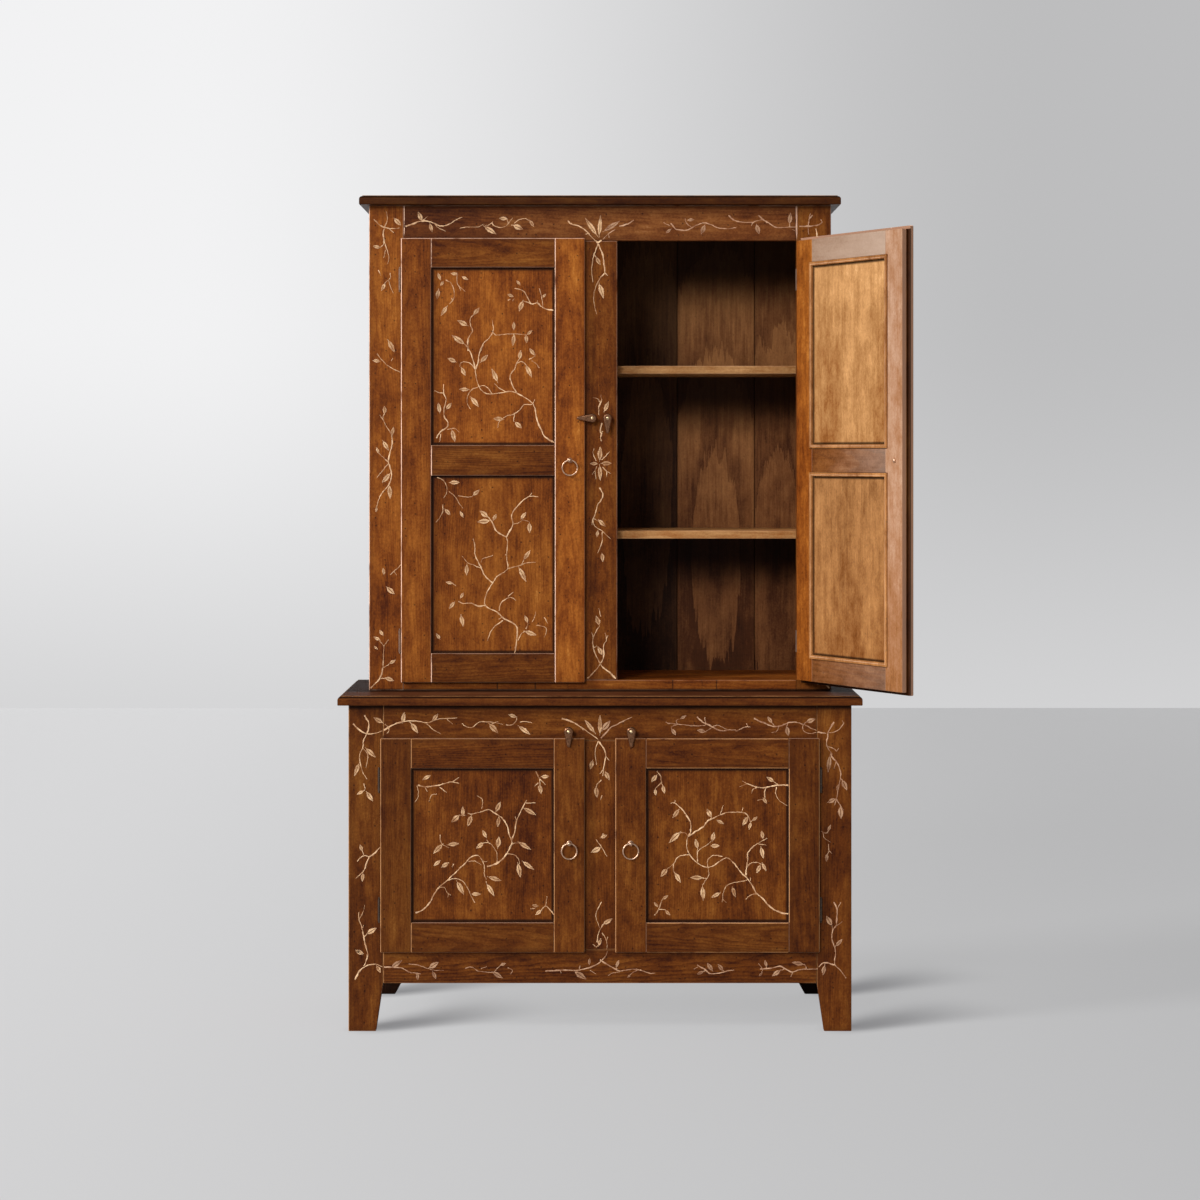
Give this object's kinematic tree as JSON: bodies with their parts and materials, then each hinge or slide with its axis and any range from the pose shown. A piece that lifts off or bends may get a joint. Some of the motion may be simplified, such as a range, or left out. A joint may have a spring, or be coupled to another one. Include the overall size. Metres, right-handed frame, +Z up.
{
  "type": "step back cupboard",
  "caption": "Two-part wooden cupboard: a shallow shelved hutch with lipped panel doors stands on a deeper case with doors, bracket feet and a moulded waist board.",
  "frame": {"origin": "on the floor, under the middle of the bounding box of the cupboard as it is stored, with its upper right door open", "axes": "+X to the right and -Y to the front, for a person who faces the doors; +Z up"},
  "size_m": [1.4362, 0.7808, 2.1389],
  "materials": {
    "stained_wood": "red brown stain under satin varnish, with painted cream vines",
    "interior_wood": "dark walnut stain, matt",
    "hinge_iron": "dark waxed iron",
    "pull_brass": "pale antique brass",
    "button_bronze": "browned antique bronze"
  },
  "bodies": {
    "carcase": {"base_side_left": "stained_wood", "base_side_right": "stained_wood", "base_stile_left": "stained_wood", "base_stile_right": "stained_wood", "base_centre_stile": "stained_wood", "base_top_rail": "stained_wood", "base_bottom_rail": "stained_wood", "base_floor": "interior_wood", "base_shelf": "interior_wood", "base_back": "interior_wood", "waist_board": "stained_wood", "hutch_side_left": "stained_wood", "hutch_side_right": "stained_wood", "hutch_stile_left": "stained_wood", "hutch_stile_right": "stained_wood", "hutch_centre_stile": "stained_wood", "hutch_frieze_rail": "stained_wood", "hutch_floor": "interior_wood", "hutch_shelf_lower": "interior_wood", "hutch_shelf_upper": "interior_wood", "hutch_back": "interior_wood", "cornice_board": "stained_wood", "upper_left_hinge_top_frame_leaf": "hinge_iron", "upper_left_hinge_bottom_frame_leaf": "hinge_iron", "upper_right_hinge_top_frame_leaf": "hinge_iron", "upper_right_hinge_bottom_frame_leaf": "hinge_iron", "lower_left_hinge_top_frame_leaf": "hinge_iron", "lower_left_hinge_bottom_frame_leaf": "hinge_iron", "lower_right_hinge_top_frame_leaf": "hinge_iron", "lower_right_hinge_bottom_frame_leaf": "hinge_iron"},
    "upper_left_door": {"upper_left_door_frame": "stained_wood", "upper_left_panel_bottom": "stained_wood", "upper_left_panel_top": "stained_wood", "upper_left_pull_post": "pull_brass", "upper_left_hinge_top_door_leaf": "hinge_iron", "upper_left_hinge_bottom_door_leaf": "hinge_iron"},
    "upper_right_door": {"upper_right_door_frame": "stained_wood", "upper_right_panel_bottom": "stained_wood", "upper_right_panel_top": "stained_wood", "upper_right_pull_post": "pull_brass", "upper_right_hinge_top_door_leaf": "hinge_iron", "upper_right_hinge_bottom_door_leaf": "hinge_iron"},
    "lower_left_door": {"lower_left_door_frame": "stained_wood", "lower_left_door_panel": "stained_wood", "lower_left_pull_post": "pull_brass", "lower_left_hinge_top_door_leaf": "hinge_iron", "lower_left_hinge_bottom_door_leaf": "hinge_iron"},
    "lower_right_door": {"lower_right_door_frame": "stained_wood", "lower_right_door_panel": "stained_wood", "lower_right_pull_post": "pull_brass", "lower_right_hinge_top_door_leaf": "hinge_iron", "lower_right_hinge_bottom_door_leaf": "hinge_iron"},
    "upper_left_ring": {"upper_left_pull_ring": "pull_brass"},
    "upper_right_ring": {"upper_right_pull_ring": "pull_brass"},
    "lower_left_ring": {"lower_left_pull_ring": "pull_brass"},
    "lower_right_ring": {"lower_right_pull_ring": "pull_brass"},
    "upper_left_button": {"upper_left_turn_button": "button_bronze"},
    "upper_right_button": {"upper_right_turn_button": "button_bronze"},
    "lower_left_button": {"lower_left_turn_button": "button_bronze"},
    "lower_right_button": {"lower_right_turn_button": "button_bronze"}
  },
  "joints": [
    {"name": "upper_left_door_hinge", "type": "hinge", "parent": "carcase", "child": "upper_left_door", "pos_m": [-0.57195, 0.02883, 0.9826], "axis": [0, 0, -1], "range_deg": [0, 130]},
    {"name": "upper_right_door_hinge", "type": "hinge", "parent": "carcase", "child": "upper_right_door", "pos_m": [0.46765, 0.02883, 0.9826], "axis": [0, 0, 1], "range_deg": [-120, 10]},
    {"name": "lower_left_door_hinge", "type": "hinge", "parent": "carcase", "child": "lower_left_door", "pos_m": [-0.61395, -0.12117, 0.309], "axis": [0, 0, -1], "range_deg": [0, 130]},
    {"name": "lower_right_door_hinge", "type": "hinge", "parent": "carcase", "child": "lower_right_door", "pos_m": [0.50965, -0.12117, 0.309], "axis": [0, 0, 1], "range_deg": [0, 130]},
    {"name": "upper_left_ring_swing", "type": "hinge", "parent": "upper_left_door", "child": "upper_left_ring", "pos_m": [-0.13015, 0.00843, 1.4521], "axis": [-1, 0, 0], "range_deg": [-8, 180]},
    {"name": "upper_right_ring_swing", "type": "hinge", "parent": "upper_right_door", "child": "upper_right_ring", "pos_m": [0.70622, -0.34358, 1.4521], "axis": [0.5, -0.866, 0], "range_deg": [-8, 180]},
    {"name": "lower_left_ring_swing", "type": "hinge", "parent": "lower_left_door", "child": "lower_left_ring", "pos_m": [-0.13015, -0.14157, 0.48], "axis": [-1, 0, 0], "range_deg": [-8, 180]},
    {"name": "lower_right_ring_swing", "type": "hinge", "parent": "lower_right_door", "child": "lower_right_ring", "pos_m": [0.02585, -0.14157, 0.48], "axis": [-1, 0, 0], "range_deg": [-8, 180]},
    {"name": "upper_left_button_turn", "type": "hinge", "parent": "carcase", "child": "upper_left_button", "pos_m": [-0.07215, 0.03243, 1.5616], "axis": [0, -1, 0], "range_deg": [-150, 135]},
    {"name": "upper_right_button_turn", "type": "hinge", "parent": "carcase", "child": "upper_right_button", "pos_m": [-0.03215, 0.03243, 1.5616], "axis": [0, -1, 0], "range_deg": [-60, 240]},
    {"name": "lower_left_button_turn", "type": "hinge", "parent": "carcase", "child": "lower_left_button", "pos_m": [-0.13165, -0.11757, 0.764], "axis": [0, -1, 0], "continuous": true},
    {"name": "lower_right_button_turn", "type": "hinge", "parent": "carcase", "child": "lower_right_button", "pos_m": [0.02735, -0.11757, 0.764], "axis": [0, -1, 0], "continuous": true}
  ]
}
